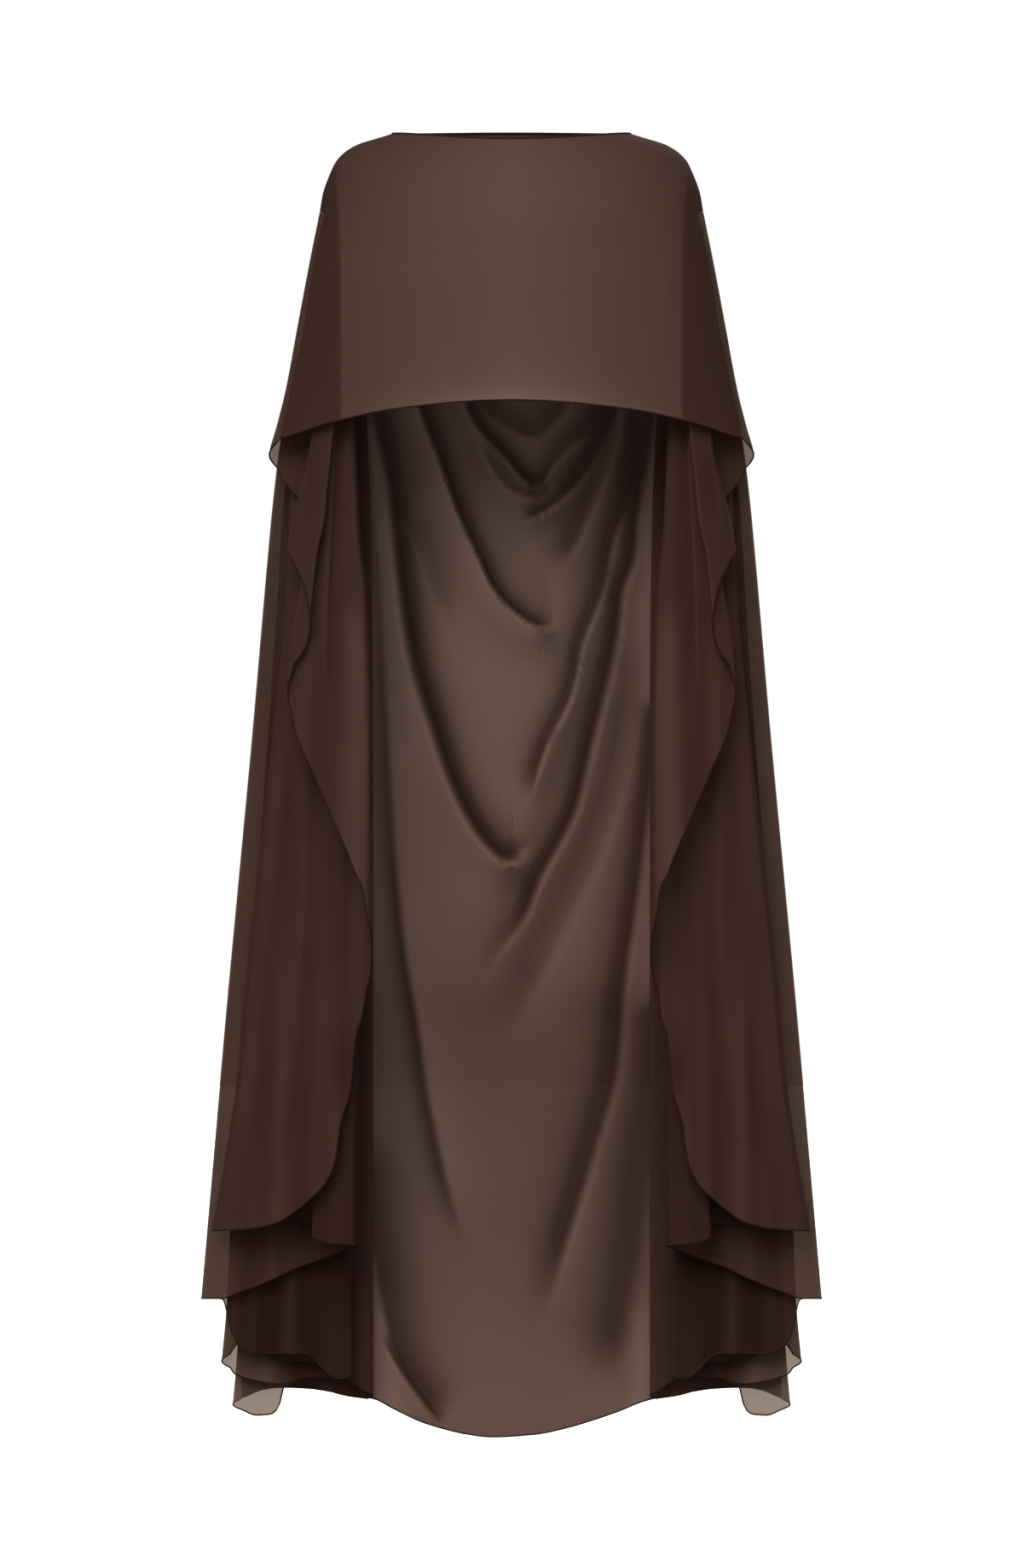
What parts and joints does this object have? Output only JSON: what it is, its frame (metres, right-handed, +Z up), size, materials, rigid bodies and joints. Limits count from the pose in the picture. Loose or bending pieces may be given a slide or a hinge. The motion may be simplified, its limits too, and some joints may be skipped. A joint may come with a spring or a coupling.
{
  "type": "cape",
  "caption": "Floor-length draped chiffon cape, worn and filled out: boat neck, short front panel over the arms, cascading side falls and a long cowl-draped back.",
  "frame": {"origin": "centre of the boat neck, at the height of the back neck edge, where the wearer's shoulders carry the cape", "axes": "+Z up along the cape's length, +X to the right as seen from the front, the front faces -Y"},
  "size_m": [0.7292, 0.2504, 1.5373],
  "materials": {
    "chiffon": "sheer matt chiffon",
    "rolled_hem": "narrow rolled hem"
  },
  "bodies": {
    "root": {"front_panel": "chiffon", "back_panel": "chiffon", "wing_turnback_left": "chiffon", "wing_turnback_right": "chiffon", "upper_fall_left": "chiffon", "upper_fall_right": "chiffon", "middle_fall_left": "chiffon", "middle_fall_right": "chiffon", "first_fall_left": "chiffon", "first_fall_right": "chiffon", "second_fall_left": "chiffon", "second_fall_right": "chiffon", "third_fall_left": "chiffon", "third_fall_right": "chiffon", "back_side_left": "chiffon", "back_side_right": "chiffon", "neck_roll_front": "rolled_hem", "neck_roll_back": "rolled_hem"}
  },
  "joints": []
}
